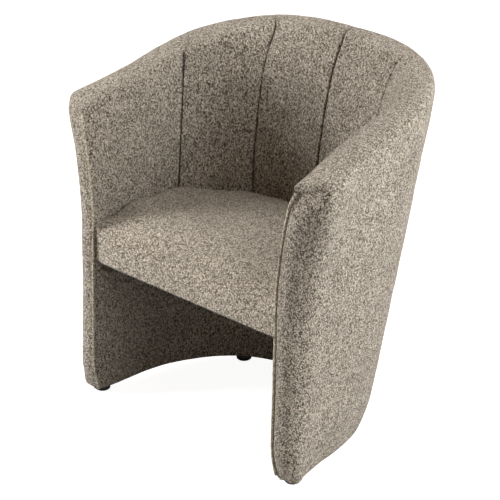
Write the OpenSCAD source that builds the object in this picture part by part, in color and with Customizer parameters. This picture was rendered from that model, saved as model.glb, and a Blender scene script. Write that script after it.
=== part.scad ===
// Tub chair: a U-shaped upholstered shell with a fixed seat between its arms.
// Lengths are in millimetres. +Z is up, the front faces -Y, the floor is at z = 0.

/* [Overall] */
// Height of the back's rim above the floor
overall_height = 756; // [700:4:840]
// Height of the rim at the front of the arms
arm_height = 646; // [610:2:680]
// Width of the shell's foot at its front
base_width = 612; // [570:2:640]
// Depth of the shell's foot
base_depth = 414; // [380:2:440]
// Depth of the shell at the height of the back's rim
top_depth = 531; // [490:1:580]
// Width of the shell behind the arms, at the foot
waist_width_base = 580; // [540:2:620]
// Width of the shell behind the arms, at the height of the back's rim
waist_width_top = 701; // [640:1:740]
// Where the round back starts behind the front, at the foot
arc_start_base = 70; // [60:1:100]
// Where the round back starts behind the front, at the height of the back's rim
arc_start_top = 210; // [180:2:240]

/* [Arms] */
// How far each arm leans out from foot to rim height
arm_lean = 23; // [10:1:40]
// How far the front of each arm flares out beyond its lean
arm_flare = 103; // [60:1:120]
// Height where the flare starts
flare_start = 396; // [380:2:440]
// How far the arm fronts lean back from foot to rim height
front_lean = 25; // [20:0.5:45]
// How far the fabric tucks back at the foot of each arm front
toe_tuck = 16.5; // [5:0.5:20]
// How far the fabric tucks in at the foot of the shell's outer sides and back
side_tuck = 6; // [0:0.5:8]
// Height over which those tucks run out
toe_height = 90; // [70:2:120]
// How far the arm-top panel comes down over the arm front
knuckle_drop = 6; // [4:1:30]

/* [Wall] */
// Thickness of the wall at the foot of the arm fronts
wall_front_base = 48; // [40:0.5:54]
// Depth of the quarter-round front of each arm
nose_depth = 22; // [20:1:30]
// Thickness of the wall at the foot of the back
wall_back_base = 36; // [34:0.5:44]
// Thickness of the wall at the front, at rim height
wall_front_top = 71.5; // [62:0.5:80]
// How much thicker the arm fronts grow where they flare out, at rim height
front_swell = 28; // [10:1:34]
// Thickness of the wall at the back, at rim height
wall_back_top = 72; // [60:1:80]
// Height of the rounded crown of the rim
rim_crown = 20; // [8:1:24]
// Depth of soft filling between the shoulder of the rim and the frame
rim_depth = 12; // [9:1:16]
// Thickness of the fabric with its fleece
cover = 3; // [2:0.25:4]
// Thickness of the hardboard linings
lining = 3; // [2:0.5:4]
// Least foam over the inner lining, at the foot
foam_min = 3; // [2:0.5:5]
// Depth that the sewn seams pull into the padded inside
seam_draw = 5; // [2:0.5:7]

/* [Frame] */
// Thickness of the foot board
ring_height = 18; // [15:1:22]
// Height of the top rail
rail_height = 18; // [15:1:24]
// Height of the blocks between the posts behind the seat
block_height = 18; // [15:1:24]

/* [Seat] */
// Height of the seat's underside
seat_bottom = 308; // [295:1:320]
// Thickness of the padded seat where it meets the arms and back
seat_side = 84; // [72:1:102]
// Rise of the crown above that edge
seat_crown = 22; // [10:1:30]
// Drop of the rounded front edge
front_drop = 34; // [25:1:50]
// Depth over which the front edge rounds over
front_round = 50; // [40:1:70]
// Thickness of the seat board
board = 15; // [12:1:18]
// Width of the spring opening in the seat board
opening_width = 330; // [280:5:340]
// Depth of the spring opening in the seat board
opening_depth = 230; // [200:5:240]
// Diameter of the spring wire
wire = 3.6; // [3:0.2:4]
// Number of zigzag springs
spring_count = 5; // [3:1:6]
// Thickness of the felt pad on the springs
pad = 4; // [3:0.5:6]
// Side of the square battens that carry the seat
cleat = 22; // [18:1:28]

/* [Glides] */
// Height of each glide, and of the fabric's edge above the floor
glide_height = 12; // [9:0.5:16]
// Radius of each glide
glide_radius = 16.5; // [14:0.5:18]
// Radius of the wood screws' shanks
screw_radius = 2; // [1.5:0.25:2.5]

/* [Hidden] */

// Clearance between neighbouring pieces, and between foam and what it fills
gap = 0.2;
ease = 1.2;
// Exponents of the plan's rounded corners, of the arms' bow, the flare and the rim's rise
corner_base_share = 2.3;
corner_top_share = 2.52;
bow_share = 1.44;
flare_share = 1.65;
rise_share = 0.97;
crown_share = 0.8;
// Plan angles of the sewn seams beside the middle one, and half the width of a seam's pull
seam_outer_angle = 18;
seam_inner_angle = 60;
seam_half_angle = 2.5;
// Plan columns on the arm side, as shares of the way from the arm front to the outer seam
side_shares = [0, 0.2, 0.45, 0.7];
// Angles round the quarter-round arm front, and the small lead of its first inner column
nose_angles = [0, 30, 60];
nose_lead_angle = 6;
lift_angle = 0.5;
// Angles across the rim's crown, from its inner to its outer edge
crown_angles = [0, 30, 60, 90, 120, 150, 180];
// Rows of the frame: shares of the way from the panels' lower edge up to the top rail
upper_shares = [0, 0.25, 0.5, 0.75, 1];
// Edge of the outer cover below the crown at the corner of the arm front, and the share of
// the quarter round that the arm-top panel's folded edge takes
lip = 2;
fold_reach_share = 0.985;
// Share of a wall column's width that keeps the ends of a block clear of the posts
end_share = 0.01;

hem = glide_height;
span = overall_height - hem;
panel_bottom = seat_bottom + board + cover;
block_bottom = seat_bottom - block_height;
seat_edge = seat_bottom + seat_side;
mid_low = (hem + toe_height + block_bottom) / 2;
low_rows = [hem, hem + ring_height, hem + toe_height / 2, hem + toe_height, mid_low,
    block_bottom, seat_bottom];

function mix(a, b, t) = a + (b - a) * t;
function reversed(v) = [for (k = [len(v) - 1:-1:0]) v[k]];
function rise(z) = (z - hem) / span;
function toe(z) = toe_tuck * pow(max(0, 1 - (z - hem) / toe_height), 2);
function front_y(z) = front_lean * rise(z) + toe(z);
function arc_y(z) = mix(arc_start_base, arc_start_top, rise(z));
function tuck(z) = side_tuck * toe(z) / toe_tuck;
function back_y(z) = mix(base_depth, top_depth, rise(z)) - tuck(z);
function waist(z) = mix(waist_width_base, waist_width_top, rise(z)) / 2 - tuck(z);
function flare(z) = pow(max(0, (z - flare_start) / (overall_height - flare_start)), flare_share);
function front_half(z) =
    base_width / 2 + arm_lean * rise(z) + arm_flare * flare(z) - tuck(z);
function wall_front(z) =
    mix(wall_front_base, wall_front_top, rise(z)) + front_swell * flare(z) - tuck(z);
function wall_back(z) = mix(wall_back_base, wall_back_top, rise(z)) - tuck(z);
function corner(z) = mix(corner_base_share, corner_top_share, rise(z));

// The plan's half outline at height z: the bowed arm side, then a rounded-corner back.
function root_y(z) = front_y(z) + nose_depth;
function bow(y, z, y0) = pow(max(0, 1 - (y - y0) / (arc_y(z) - y0)), bow_share);
function round_half(y, z, inset) =
    (waist(z) - inset)
    * pow(1 - pow((y - arc_y(z)) / (back_y(z) - arc_y(z) - inset), corner(z)), 1 / corner(z));
function side_half(y, z) =
    y < arc_y(z) ? mix(waist(z), front_half(z), bow(y, z, root_y(z))) : round_half(y, z, 0);
function side_inner(y, z) =
    y < arc_y(z)
    ? mix(waist(z) - wall_back(z), front_half(z) - wall_front(z), bow(y, z, front_y(z)))
    : round_half(y, z, wall_back(z));
function arc_point(a, z, inset) =
    [(waist(z) - inset) * pow(cos(a), 2 / corner(z)),
     arc_y(z) + (back_y(z) - arc_y(z) - inset) * pow(sin(a), 2 / corner(z))];
function seam_y(z) = arc_point(seam_outer_angle, z, wall_back(z))[1];

// Plan columns of one half: [0, angle] round the arm front, [1, share] along the arm,
// [2, angle] round the back. The wall's columns start after those of the arm front.
arc_angles = [seam_outer_angle - seam_half_angle, seam_outer_angle, seam_outer_angle + seam_half_angle,
    mix(seam_outer_angle, seam_inner_angle, 0.36), mix(seam_outer_angle, seam_inner_angle, 0.66),
    seam_inner_angle - seam_half_angle, seam_inner_angle, seam_inner_angle + seam_half_angle,
    mix(seam_inner_angle, 90, 0.5), 90 - seam_half_angle, 90];
wall_half = concat([for (s = side_shares) [1, s]], [for (a = arc_angles) [2, a]]);
middle = len(wall_half) - 1;
last = 2 * middle;
seam_columns = [5, 10, 14, 18, 23];

// A column of the whole wall: its half column and its side, -1 left and 1 right.
function wall_column(i) = i <= middle ? [wall_half[i], -1] : [wall_half[last - i], 1];
function outer_half(c, z) =
    c[0] == 1
    ? let (y = mix(root_y(z), seam_y(z), c[1])) [side_half(y, z), y]
    : arc_point(c[1], z, 0);
function inner_half(c, z) =
    c[0] == 1
    ? let (y = mix(root_y(z), seam_y(z), c[1])) [side_inner(y, z), y]
    : arc_point(c[1], z, wall_back(z));
function toward(p, q, d) = p + (q - p) * d / norm(q - p);
function place(p, side, z) = [side * p[0], p[1] - centre_y, z];

// A point at a depth from the outer face, or at an inset from the inner face, of a column.
function from_outer(i, z, d) =
    let (c = wall_column(i)) place(toward(outer_half(c[0], z), inner_half(c[0], z), d), c[1], z);
function from_inner(i, z, e) =
    let (c = wall_column(i)) place(toward(inner_half(c[0], z), outer_half(c[0], z), e), c[1], z);

// Heights at a column: the rim's shoulder, the frame's top and the top rail's underside.
function rim_y(c) = (outer_half(c, overall_height)[1] + inner_half(c, overall_height)[1]) / 2;
root = wall_half[0];
function rim_share(c) = (rim_y(c) - rim_y(root)) / (rim_y(wall_half[middle]) - rim_y(root));
function shoulder(c) =
    mix(arm_height, overall_height, 1 - pow(max(0, 1 - rim_share(c)), rise_share)) - rim_crown;
function frame_top(c) = shoulder(c) - rim_depth - (c == root ? knuckle_drop : 0);
function rail_bottom(c) = frame_top(c) - rail_height;
function row_count() = len(low_rows) + len(upper_shares) + 1;
function row_z(c, k) =
    k < len(low_rows) ? low_rows[k]
    : k == row_count() - 1 ? frame_top(c)
    : mix(panel_bottom, rail_bottom(c), upper_shares[k - len(low_rows)]);
function wall_z(i, k) = row_z(wall_column(i)[0], k);
top_row = row_count() - 1;
rail_row = top_row - 1;
panel_row = len(low_rows);

// Depths of the layers from the outer face.
function thickness(i, z) =
    let (c = wall_column(i)[0]) norm(outer_half(c, z) - inner_half(c, z));
function core(i) = thickness(i, hem) - 2 * cover - 2 * lining - foam_min - 5 * gap;
lining_depth = cover + gap;
core_depth = lining_depth + lining + gap;
function inner_lining_depth(i) = core_depth + core(i) + gap;
function foam_depth(i) = inner_lining_depth(i) + lining + gap;

// The front of an arm: its inner edge, the quarter round and the crown that comes down on it.
function edge(z) = [front_half(z) - wall_front(z), front_y(z)];
function root_in(z, e) = inner_half(root, z) + [e, 0];
function root_out(z, e) = outer_half(root, z) - [e, 0];
function edge_in(z, e) = edge(z) + [e, e];
function nose_line(q, z, e) = mix(edge_in(z, e), root_in(z, e), q);
function nose_point(a, share, z, e) =
    nose_line(1 - cos(a), z, e) + [share * sin(a) * (root_out(z, e)[0] - root_in(z, e)[0]), 0];
nose_top = shoulder(root) - knuckle_drop;
nose_floor = frame_top(root);
function crown_share_at(b) = (1 - cos(b)) / 2;
function crown_rise(b) = rim_crown * pow(sin(b), crown_share);
function fold_share_at(b) = crown_share_at(b) * fold_reach_share;
function fold_height(share) = nose_top + (knuckle_drop - lip) * pow(share, 3);
function fold_point(b, z, e) =
    let (g = fold_share_at(b), a = asin(g))
    let (line = nose_line(1 - cos(a), z, e))
    line + [g * (root_out(z, e)[0] - root_in(z, e)[0]), 0];
function root_crown(b, e) =
    let (z = shoulder(root))
    mix(root_in(z, e), root_out(z, e), crown_share_at(b));
function nose_crown(a, b, e) =
    let (s = 1 - cos(a), t = sin(max(a - nose_lead_angle, lift_angle)))
    let (p = mix(fold_point(b, nose_top, e), root_crown(b, e), s))
    let (z = mix(fold_height(fold_share_at(b)), shoulder(root) - e * sin(b) + crown_rise(b), t))
    [p, z];
function nose_base(a, b, e) =
    let (z = nose_floor, s = 1 - cos(a))
    mix(fold_point(b, z, e), mix(root_in(z, e), root_out(z, e), crown_share_at(b)), s);

// How far the padded inside is drawn in at a column, and the crown over the wall there.
function is_seam(i) = len([for (s = seam_columns) if (s == i) s]) > 0;
function draw(i, k) = is_seam(i) && k > panel_row ? seam_draw : 0;
function crown_point(i, b, e) =
    let (c = wall_column(i), z = shoulder(c[0]), pull = draw(i, top_row))
    let (p = toward(inner_half(c[0], z), outer_half(c[0], z), e + pull))
    let (q = toward(outer_half(c[0], z), inner_half(c[0], z), e))
    let (g = crown_share_at(b))
    place(mix(p, q, g), c[1], z - e * sin(b) + crown_rise(b) - pull * sin(b));
function crown_floor(i, b, e) =
    let (c = wall_column(i), z = frame_top(c[0]), pull = draw(i, top_row))
    let (p = toward(inner_half(c[0], z), outer_half(c[0], z), e + pull))
    let (q = toward(outer_half(c[0], z), inner_half(c[0], z), e))
    place(mix(p, q, crown_share_at(b)), c[1], z + ease);

// Depth of the middle of the bounding box behind the arm fronts' foot.
welt_radius = 1.6;
front_most = min([for (z = low_rows) front_y(z)]) - welt_radius * (1 + sin(45)) - gap * sin(45);
back_most = outer_half(wall_half[middle], shoulder(wall_half[middle]))[1];
centre_y = (front_most + back_most) / 2;

// A closed slab between two grids of points that have the same rows and columns.
module slab(a, b) {
    m = len(a);
    n = len(a[0]);
    s = m * n;
    points = concat([for (row = a) for (p = row) p], [for (row = b) for (p = row) p]);
    function id(i, k) = i * n + k;
    near = [for (i = [0:m - 2]) for (k = [0:n - 2]) each
        [[id(i, k), id(i + 1, k), id(i + 1, k + 1)], [id(i, k), id(i + 1, k + 1), id(i, k + 1)]]];
    far = [for (f = near) [f[2] + s, f[1] + s, f[0] + s]];
    rim = concat([for (i = [0:m - 1]) id(i, 0)], [for (k = [1:n - 1]) id(m - 1, k)],
        [for (i = [m - 2:-1:0]) id(i, n - 1)], [for (k = [n - 2:-1:1]) id(0, k)]);
    r = len(rim);
    side = [for (j = [0:r - 1]) let (p = rim[j], q = rim[(j + 1) % r]) each
        p < q ? [[p, q + s, q], [p, p + s, q + s]] : [[p, p + s, q], [q, p + s, q + s]]];
    polyhedron(points, concat(near, far, side));
}

// A closed solid through rings of points, with a fan of triangles at each end.
function middle_of(ring) = [for (k = [0:len(ring) - 1]) 1] * ring / len(ring);
module loft(rings) {
    m = len(rings);
    n = len(rings[0]);
    s = m * n;
    points = concat([for (ring = rings) for (p = ring) p],
        [middle_of(rings[0]), middle_of(rings[m - 1])]);
    side = [for (i = [0:m - 2]) for (k = [0:n - 1])
        let (j = (k + 1) % n, p = i * n, q = p + n)
        each [[p + k, q + k, p + j], [p + j, q + k, q + j]]];
    ends = [for (k = [0:n - 1]) let (j = (k + 1) % n)
        each [[s, k, j], [s + 1, s - n + j, s - n + k]]];
    polyhedron(points, concat(side, ends));
}

// A part of the wall between two columns, two rows and two depths.
module wall_slab(i0, i1, z_rows, near_depth, far_depth) {
    slab([for (i = [i0:i1]) [for (z = z_rows[i - i0]) from_outer(i, z, near_depth[i - i0])]],
        [for (i = [i0:i1]) [for (z = z_rows[i - i0]) from_outer(i, z, far_depth[i - i0])]]);
}
module core_slab(i0, i1, k0, k1, shrink) {
    wall_slab(i0, i1,
        [for (i = [i0:i1]) [for (k = [k0:k1])
            wall_z(i, k) + (k == k0 ? shrink : 0) - (k == k1 ? shrink : 0)]],
        [for (i = [i0:i1]) core_depth],
        [for (i = [i0:i1]) core_depth + core(i)]);
}
module lining_slab(depths) {
    wall_slab(0, last, [for (i = [0:last]) [for (k = [0:top_row]) wall_z(i, k)]],
        depths, [for (d = depths) d + lining]);
}

module base_board() {
    e = core_depth;
    top = hem + ring_height;
    side_angles = [nose_angles[1], nose_angles[2]];
    outer_left = concat(
        [for (a = side_angles) place(nose_point(a, 1, hem, e), -1, hem)],
        [for (i = [0:middle]) from_outer(i, hem, e)]);
    outer_right = concat([for (i = [middle + 1:last]) from_outer(i, hem, e)],
        [for (a = [side_angles[1], side_angles[0]]) place(nose_point(a, 1, hem, e), 1, hem)]);
    inside = [for (i = [last:-1:0]) from_outer(i, top, core_depth + core(i))];
    e_in = cover + lining + foam_min + 3 * gap;
    tip = nose_point(side_angles[0], 0, hem, e_in)[0];
    tip_y = nose_point(side_angles[0], 1, hem, e)[1];
    outline = concat(outer_left, outer_right, [place([tip, tip_y], 1, hem)], inside,
        [place([tip, tip_y], -1, hem)]);
    color("burlywood") difference() {
        translate([0, 0, hem]) linear_extrude(ring_height)
            polygon([for (p = outline) [p[0], p[1]]]);
        for (p = glide_places) translate([p[0], p[1], hem - gap])
            cylinder(h = ring_height * 0.8, r = screw_radius + gap / 2, $fn = 24);
    }
}
module arm_post(i0, i1) { color("burlywood") core_slab(i0, i1, 1, top_row, 2 * gap); }
module post(i0, i1) { color("burlywood") core_slab(i0, i1, 1, rail_row, 2 * gap); }
module arm_post_left() { arm_post(0, 1); }
module arm_post_right() { arm_post(last - 1, last); }
module side_post_left() { post(3, 4); }
module side_post_right() { post(last - 4, last - 3); }
module back_post_left() { post(8, 9); }
module back_post_right() { post(last - 9, last - 8); }
module back_post_center() { post(middle - 1, middle + 1); }

// Columns that the posts take, from one arm to the other.
post_columns = [[0, 1], [3, 4], [8, 9], [middle - 1, middle + 1], [last - 9, last - 8],
    [last - 4, last - 3], [last - 1, last]];
module seat_blocks() {
    color("tan") for (j = [0:len(post_columns) - 2]) block(post_columns[j][1], post_columns[j + 1][0]);
}
// A block between two posts, its ends just clear of them.
function block_point(i, i0, i1, z, d) =
    let (n = i == i0 ? i + 1 : i == i1 ? i - 1 : i)
    mix(from_outer(i, z, d), from_outer(n, z, d), end_share);
module block(i0, i1) {
    slab([for (i = [i0:i1]) [for (z = [block_bottom, seat_bottom])
            block_point(i, i0, i1, z, core_depth)]],
        [for (i = [i0:i1]) [for (z = [block_bottom, seat_bottom])
            block_point(i, i0, i1, z, core_depth + core(i))]]);
}
module top_rail() { color("burlywood") core_slab(1, last - 1, rail_row, top_row, gap); }
module outer_lining() {
    color("peru") lining_slab([for (i = [0:last]) lining_depth]);
}
module inner_lining() {
    color("peru") lining_slab([for (i = [0:last]) inner_lining_depth(i)]);
}
module shell_foam() {
    e = cover + ease;
    color("khaki") slab(
        [for (i = [0:last]) [for (k = [0:top_row]) from_outer(i, wall_z(i, k), foam_depth(i))]],
        [for (i = [0:last]) [for (k = [0:top_row]) from_inner(i, wall_z(i, k), e + draw(i, k))]]);
}

// Points of a whole crown grid: the left arm front, the wall, then the right arm front.
function nose_point_3d(a, b, e, side) =
    let (n = nose_crown(a, b, e)) place(n[0], side, n[1]);
inner_nose = [nose_lead_angle, nose_angles[1], nose_angles[2]];
module rim_foam() {
    e = cover + ease;
    top = concat(
        [for (a = inner_nose) [for (b = crown_angles) nose_point_3d(a, b, e, -1)]],
        [for (i = [0:last]) [for (b = crown_angles) crown_point(i, b, e)]],
        [for (j = [2:-1:0]) [for (b = crown_angles) nose_point_3d(inner_nose[j], b, e, 1)]]);
    floor_z = nose_floor + ease;
    under = concat(
        [for (a = inner_nose) [for (b = crown_angles) place(nose_base(a, b, e), -1, floor_z)]],
        [for (i = [0:last]) [for (b = crown_angles) crown_floor(i, b, e)]],
        [for (j = [2:-1:0]) [for (b = crown_angles)
            place(nose_base(inner_nose[j], b, e), 1, floor_z)]]);
    color("lemonchiffon") slab(under, top);
}
module nose_foam(side) {
    e = cover + ease;
    rings = [for (k = [1:top_row])
        let (z = row_z(root, k) + (k == 1 ? gap : 0) - (k == top_row ? gap : 0))
        concat([for (a = nose_angles) place(nose_point(a, 1, z, e), side, z)],
            [place(root_out(z, e) - [0, ease], side, z), place(root_in(z, e) - [0, ease], side, z)])];
    color("lemonchiffon") loft(side > 0 ? rings : [for (r = rings) reversed(r)]);
}
module nose_foam_left() { nose_foam(-1); }
module nose_foam_right() { nose_foam(1); }

// The outer cover's column on an arm front: the frame's rows, then the fold's edge.
function nose_rows(a, e, side) = concat(
    [for (k = [0:top_row]) let (z = row_z(root, k)) place(nose_point(a, 1, z, e), side, z)],
    [let (z = fold_height(sin(a)) - 4 * gap) place(nose_point(a, 1, z, e), side, z)]);
function wall_rows(i, e) = concat(
    [for (k = [0:top_row]) from_outer(i, wall_z(i, k), e)],
    [let (c = wall_column(i)[0]) from_outer(i, shoulder(c) - gap - (c == root ? lip : 0), e)]);
function outer_grid(e) = concat(
    [for (a = nose_angles) nose_rows(a, e, -1)],
    [for (i = [0:last]) wall_rows(i, e)],
    [for (j = [2:-1:0]) nose_rows(nose_angles[j], e, 1)]);
module outer_cover() { color("tan") slab(outer_grid(0), outer_grid(cover)); }

// The inner face at an arm front, and the inner fabric's grids.
function inner_nose_point(a, z, e, side) = place(nose_point(a, 0, z, e), side, z);
function lower_rows(k) = k == panel_row ? panel_bottom - gap : low_rows[k];
function lower_grid(e) = concat(
    [for (a = inner_nose) [for (k = [0:panel_row]) inner_nose_point(a, lower_rows(k), e, -1)]],
    [for (i = [0:last]) [for (k = [0:panel_row]) from_inner(i, lower_rows(k), e)]],
    [for (j = [2:-1:0]) [for (k = [0:panel_row])
        inner_nose_point(inner_nose[j], lower_rows(k), e, 1)]]);
module lower_cover() { color("rosybrown") slab(lower_grid(cover), lower_grid(0)); }

function panel_nose(a, e, side) = concat(
    [for (k = [panel_row:top_row]) inner_nose_point(a, row_z(root, k), e, side)],
    [for (b = crown_angles) nose_point_3d(a, b, e, side)]);
// A column of a panel; its two ends stand half a gap clear of the seam.
function panel_wall(i, e, shift) = concat(
    [for (k = [panel_row:top_row]) from_inner(i, wall_z(i, k), e + draw(i, k)) + shift],
    [for (b = crown_angles) crown_point(i, b, e) + shift]);
function seam_shift(i, sign) =
    let (p = from_inner(i, panel_bottom, 0), q = from_inner(i + sign, panel_bottom, 0))
    (q - p) / norm(q - p) * gap / 2;
function panel_columns(i0, i1, e) =
    [for (i = [i0:i1]) panel_wall(i, e,
        i == i0 && is_seam(i) ? seam_shift(i, 1)
        : i == i1 && is_seam(i) ? seam_shift(i, -1) : [0, 0, 0])];
module panel(i0, i1) { color("tan") slab(panel_columns(i0, i1, cover), panel_columns(i0, i1, 0)); }
function left_arm(e) =
    concat([for (a = inner_nose) panel_nose(a, e, -1)], panel_columns(0, seam_columns[0], e));
function right_arm(e) = concat(panel_columns(seam_columns[4], last, e),
    [for (j = [2:-1:0]) panel_nose(inner_nose[j], e, 1)]);
module arm_panel_left() { color("wheat") slab(left_arm(cover), left_arm(0)); }
module arm_panel_right() { color("wheat") slab(right_arm(cover), right_arm(0)); }
module back_panel_outer_left() { panel(seam_columns[0], seam_columns[1]); }
module back_panel_inner_left() { panel(seam_columns[1], seam_columns[2]); }
module back_panel_inner_right() { panel(seam_columns[2], seam_columns[3]); }
module back_panel_outer_right() { panel(seam_columns[3], seam_columns[4]); }

// A round welt just outside the inner edge of an arm front.
welt_sides = 6;
module welt(side) {
    off = (welt_radius + gap) * sin(45);
    heights = concat([for (k = [0:top_row]) row_z(root, k)], [nose_top]);
    rings = [for (z = heights) let (p = edge(z) - [off, off])
        [for (j = [0:welt_sides - 1]) let (a = side * j * 360 / welt_sides)
            place(p, side, z) + welt_radius * [cos(a), sin(a), 0]]];
    color("silver") loft(side > 0 ? rings : [for (r = rings) reversed(r)]);
}
module welt_left() { welt(-1); }
module welt_right() { welt(1); }

// The seat: its outline at a height, its rings from the edge to the middle, and its crown.
board_bottom = seat_bottom + cover + gap;
board_top = board_bottom + board;
clip_steel = 1.2;
clip_height = wire + 2 * gap + clip_steel;
pad_bottom = board_top + clip_height + gap;
foam_bottom = pad_bottom + pad + gap;
seat_front = front_y(seat_edge) + gap * 5;
front_shares = [0.92, 0.8, 0.6, 0.2, -0.2, -0.6, -0.8, -0.92];
// Share of the way to the arms where the rounded front edge starts to square up, and the
// share of its drop that is gone at the arms
square_start_share = 0.7;
square_end_share = 0.85;
ring_shares = [1, 0.985, 0.95, 0.89, 0.79, 0.64, 0.44, 0.2];
seat_middle = (seat_front + back_y(seat_edge) - wall_back(seat_edge)) / 2;
function corner_x(z, e) = edge(z)[0] - ease - e;
function flat_point(i, z, e) = let (p = from_inner(i, z, -(ease + e))) [p[0], p[1]];
function seat_outline(z, e) = concat(
    [[-corner_x(z, e), seat_front - centre_y + e]],
    [for (i = [0:last]) flat_point(i, z, e)],
    [[corner_x(z, e), seat_front - centre_y + e]],
    [for (s = front_shares) [s * corner_x(z, e), seat_front - centre_y + e]]);
function squared(x) =
    let (q = abs(x) / corner_x(seat_edge, 0) - square_start_share)
    1 - square_end_share * pow(min(1, max(0, q / (1 - square_start_share))), 2);
function seat_top(p, f) =
    let (d = min(1, max(0, 1 - (p[1] + centre_y - seat_front) / front_round)))
    let (edge_fall = pow(max(0, (f - 0.9) / 0.1), 2) * cover)
    seat_edge + seat_crown * (1 - pow(f, 2)) - edge_fall
    - front_drop * (1 - sqrt(1 - d * d)) * (1 - 0.35 * (1 - f)) * squared(p[0]);
function seat_ring(f, e, low = 0) =
    let (outside = seat_outline(seat_edge, 0), inside = seat_outline(seat_edge, e))
    let (c = [0, seat_middle - centre_y])
    [for (k = [0:len(outside) - 1])
        let (p = c + (outside[k] - c) * f, q = c + (inside[k] - c) * f)
        [q[0], q[1], max(low, seat_top(p, f) - e)]];
function flat_ring(z, e) = [for (p = seat_outline(z, e)) [p[0], p[1], z]];
module seat_cover() {
    outside = concat([flat_ring(seat_bottom, cover * 2), flat_ring(seat_bottom, 0)],
        [for (f = ring_shares) seat_ring(f, 0)]);
    inside = concat([flat_ring(seat_bottom + cover, cover * 2), flat_ring(seat_bottom + cover, cover)],
        [for (f = ring_shares) seat_ring(f, cover)]);
    color("tan") loft([for (r = concat(reversed(inside), outside)) reversed(r)]);
}
module seat_foam() {
    e = cover + 2 * ease;
    color("khaki") loft([for (r = concat([flat_ring(foam_bottom, e)],
        [for (f = ring_shares) seat_ring(f, e, foam_bottom + ease)])) reversed(r)]);
}
module spring_pad() {
    color("dimgray") translate([0, 0, pad_bottom]) linear_extrude(pad)
        polygon(seat_outline(board_bottom, cover * 2));
}

// Places round the seat where a batten carries it, as wall columns, and its screws.
cleat_spans = [[0, 4], [last - 4, last], [11, last - 11]];
cloth = 1;
cleat_top = seat_bottom - 2 * gap - cloth;
cleat_bottom = cleat_top - cleat;
screw_inset = cleat * 0.6;
screw_columns = [1, 3, last - 3, last - 1, 12, last - 12];
screw_places = [for (i = screw_columns) flat_point(i, cleat_bottom, screw_inset)];
module screw_holes(z, h) {
    for (p = screw_places) translate([p[0], p[1], z])
        cylinder(h = h, r = screw_radius + gap / 2, $fn = 24);
}
module seat_cleats() {
    color("burlywood") difference() {
        translate([0, 0, cleat_bottom]) linear_extrude(cleat) for (s = cleat_spans)
            polygon(concat([for (i = [s[0]:s[1]]) flat_point(i, cleat_bottom, 0)],
                [for (i = [s[1]:-1:s[0]]) flat_point(i, cleat_bottom, cleat)]));
        screw_holes(cleat_bottom - gap, cleat + 2 * gap);
    }
}
screw_length = cleat + cloth + 2 * gap + cover + gap + board * 0.7;
module seat_screws() {
    color("gray") for (p = screw_places) translate([p[0], p[1], cleat_bottom]) {
        cylinder(h = screw_length, r = screw_radius, $fn = 24);
        translate([0, 0, -screw_radius - gap]) cylinder(h = screw_radius, r = 2 * screw_radius, $fn = 24);
        translate([0, 0, -2 * gap]) cylinder(h = 3 * gap, r = screw_radius, $fn = 24);
    }
}
opening_y = (seat_front + back_y(seat_bottom) - wall_back(seat_bottom)) / 2 - centre_y;
module seat_board() {
    color("burlywood") difference() {
        translate([0, 0, board_bottom]) linear_extrude(board) difference() {
            polygon(seat_outline(board_bottom, cover + gap));
            translate([-opening_width / 2, opening_y - opening_depth / 2])
                square([opening_width, opening_depth]);
        }
        screw_holes(board_bottom - gap, board * 0.8);
    }
}
module dust_cover() {
    color("black") difference() {
        translate([0, 0, seat_bottom - gap - cloth]) linear_extrude(cloth)
            polygon(seat_outline(cleat_bottom, cover));
        screw_holes(cleat_top, 2 * cloth);
    }
}

// Zigzag springs across the opening, front to back, held in clips on the board.
spring_waves = 7;
spring_pitch = opening_width / spring_count;
spring_swing = spring_pitch * 0.3;
spring_run = opening_depth + 2 * cleat;
spring_z = board_top + gap + wire / 2;
wave_shares = [[0, -1], [0.4, -1], [0.5, 1], [0.9, 1]];
module spring(x) {
    straight = [opening_depth / 2 + cleat / 10, spring_run / 2];
    path = concat([[x, opening_y - straight[1]], [x, opening_y - straight[0]]],
        [for (w = [0:spring_waves - 1]) for (s = wave_shares)
            [x + s[1] * spring_swing,
             opening_y + (w + 0.05 + s[0] - spring_waves / 2) * opening_depth / spring_waves * 0.9]],
        [[x, opening_y + straight[0]], [x, opening_y + straight[1]]]);
    n = len(path);
    rings = [for (j = [0:n - 1])
        let (back = path[max(j - 1, 0)], ahead = path[min(j + 1, n - 1)])
        let (d = j == 0 || j == n - 1 ? [0, 1] : (ahead - back) / norm(ahead - back))
        [for (k = [0:4]) let (a = k * 72)
            [path[j][0] + d[1] * cos(a) * wire / 2, path[j][1] - d[0] * cos(a) * wire / 2,
             spring_z + sin(a) * wire / 2]]];
    loft([for (r = rings) reversed(r)]);
}
module zigzag_springs() {
    color("slategray") for (j = [0:spring_count - 1])
        spring((j + 0.5 - spring_count / 2) * spring_pitch);
}
module spring_clips() {
    w = wire + 2 * gap;
    t = clip_steel;
    color("gray") for (j = [0:spring_count - 1]) for (end = [-1, 1])
        translate([(j + 0.5 - spring_count / 2) * spring_pitch,
            opening_y + end * (opening_depth / 2 + cleat / 2), board_top])
            rotate([90, 0, 0]) linear_extrude(cleat / 2, center = true) difference() {
                translate([-w / 2 - t, 0]) square([w + 2 * t, clip_height]);
                translate([-w / 2, -gap]) square([w, w + gap]);
            }
}

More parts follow.
